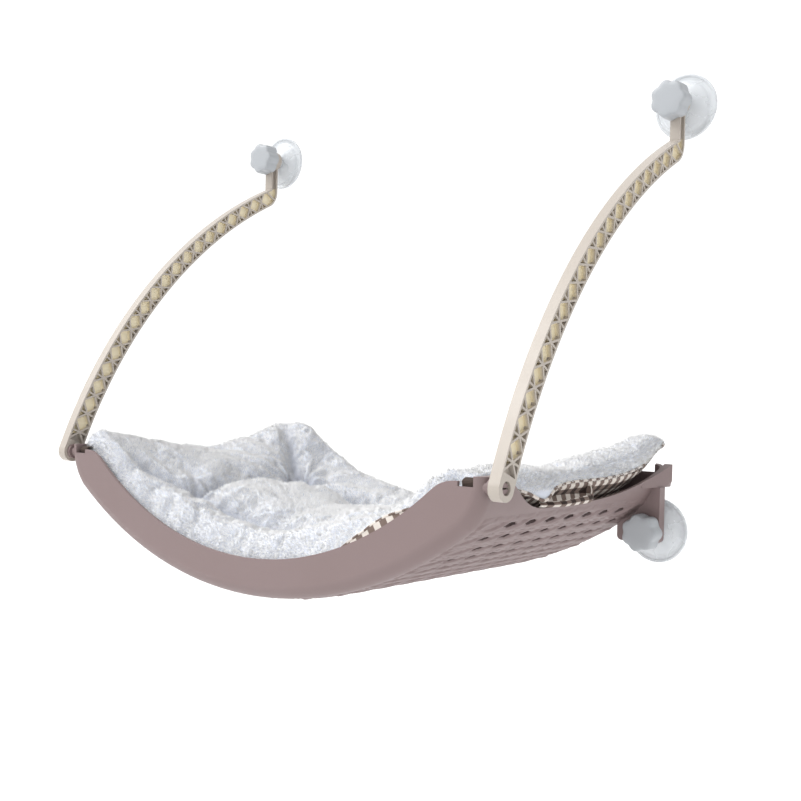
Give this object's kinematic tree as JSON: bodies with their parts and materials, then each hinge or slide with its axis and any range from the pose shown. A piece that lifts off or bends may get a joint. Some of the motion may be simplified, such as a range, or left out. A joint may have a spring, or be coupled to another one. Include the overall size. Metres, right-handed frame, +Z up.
{
  "type": "window cat perch",
  "caption": "Curved hammock-shaped tray with a woven-look floor and a plush mat, hung on a window by two latticed arms and suction cups with star knobs.",
  "frame": {"origin": "middle of the four suction cups, on the window pane", "axes": "+X along the tray's length to the right seen from the room, +Y into the glass, +Z up"},
  "size_m": [0.6124, 0.3229, 0.5092],
  "materials": {
    "tray_plastic": "satin moulded plastic",
    "arm_plastic": "satin moulded plastic",
    "cup_vinyl": "clear soft vinyl",
    "stud_steel": "zinc plated",
    "washer_plastic": "smooth nylon",
    "knob_plastic": "satin moulded plastic",
    "insert_brass": "turned",
    "plush": "short deep plush",
    "gingham": "woven gingham check",
    "strap_cloth": "woven strap"
  },
  "bodies": {
    "perch": {"tray": "tray_plastic", "leg_left": "tray_plastic", "leg_right": "tray_plastic", "pin_left": "tray_plastic", "pin_right": "tray_plastic", "cup_lower_left": "cup_vinyl", "stud_lower_left": "stud_steel", "cup_lower_right": "cup_vinyl", "stud_lower_right": "stud_steel"},
    "arm_left": {"arm_left": "arm_plastic", "cup_upper_left": "cup_vinyl", "stud_upper_left": "stud_steel"},
    "arm_right": {"arm_right": "arm_plastic", "cup_upper_right": "cup_vinyl", "stud_upper_right": "stud_steel"},
    "washer_upper_left": {"washer_upper_left": "washer_plastic"},
    "knob_upper_left": {"knob_upper_left": "knob_plastic", "insert_upper_left": "insert_brass"},
    "washer_upper_right": {"washer_upper_right": "washer_plastic"},
    "knob_upper_right": {"knob_upper_right": "knob_plastic", "insert_upper_right": "insert_brass"},
    "washer_lower_left": {"washer_lower_left": "washer_plastic"},
    "knob_lower_left": {"knob_lower_left": "knob_plastic", "insert_lower_left": "insert_brass"},
    "washer_lower_right": {"washer_lower_right": "washer_plastic"},
    "knob_lower_right": {"knob_lower_right": "knob_plastic", "insert_lower_right": "insert_brass"},
    "mat": {"mat_pad": "plush", "mat_base": "gingham", "corner_strap_left": "strap_cloth", "corner_strap_right": "strap_cloth"}
  },
  "joints": [
    {"name": "arm_swing_left", "type": "hinge", "parent": "perch", "child": "arm_left", "pos_m": [-0.2751, -0.312, -0.15], "axis": [1, 0, 0], "range_deg": [-45, 100]},
    {"name": "arm_swing_right", "type": "hinge", "parent": "perch", "child": "arm_right", "pos_m": [0.2751, -0.312, -0.15], "axis": [1, 0, 0], "range_deg": [-45, 100]},
    {"name": "washer_slide_upper_left", "type": "slide", "parent": "arm_left", "child": "washer_upper_left", "axis": [0, -1, 0], "range_m": [0, 0.003]},
    {"name": "knob_turn_upper_left", "type": "hinge", "parent": "washer_upper_left", "child": "knob_upper_left", "pos_m": [-0.2743, -0.03, 0.2083], "axis": [0, -1, 0], "range_deg": [0, 1080]},
    {"name": "washer_slide_upper_right", "type": "slide", "parent": "arm_right", "child": "washer_upper_right", "axis": [0, -1, 0], "range_m": [0, 0.003]},
    {"name": "knob_turn_upper_right", "type": "hinge", "parent": "washer_upper_right", "child": "knob_upper_right", "pos_m": [0.2743, -0.03, 0.2083], "axis": [0, -1, 0], "range_deg": [0, 1080]},
    {"name": "washer_slide_lower_left", "type": "slide", "parent": "perch", "child": "washer_lower_left", "axis": [0, -1, 0], "range_m": [0, 0.003]},
    {"name": "knob_turn_lower_left", "type": "hinge", "parent": "washer_lower_left", "child": "knob_lower_left", "pos_m": [-0.2562, -0.03, -0.2083], "axis": [0, -1, 0], "range_deg": [0, 1080]},
    {"name": "washer_slide_lower_right", "type": "slide", "parent": "perch", "child": "washer_lower_right", "axis": [0, -1, 0], "range_m": [0, 0.003]},
    {"name": "knob_turn_lower_right", "type": "hinge", "parent": "washer_lower_right", "child": "knob_lower_right", "pos_m": [0.2562, -0.03, -0.2083], "axis": [0, -1, 0], "range_deg": [0, 1080]},
    {"name": "mat_lift", "type": "slide", "parent": "perch", "child": "mat", "axis": [0, 0, 1], "range_m": [0, 0.25]}
  ],
  "couplings": [
    {"joint": "knob_turn_upper_left", "follows": "washer_slide_upper_left", "rad_per_m": 6283},
    {"joint": "knob_turn_upper_right", "follows": "washer_slide_upper_right", "rad_per_m": 6283},
    {"joint": "knob_turn_lower_left", "follows": "washer_slide_lower_left", "rad_per_m": 6283},
    {"joint": "knob_turn_lower_right", "follows": "washer_slide_lower_right", "rad_per_m": 6283}
  ]
}
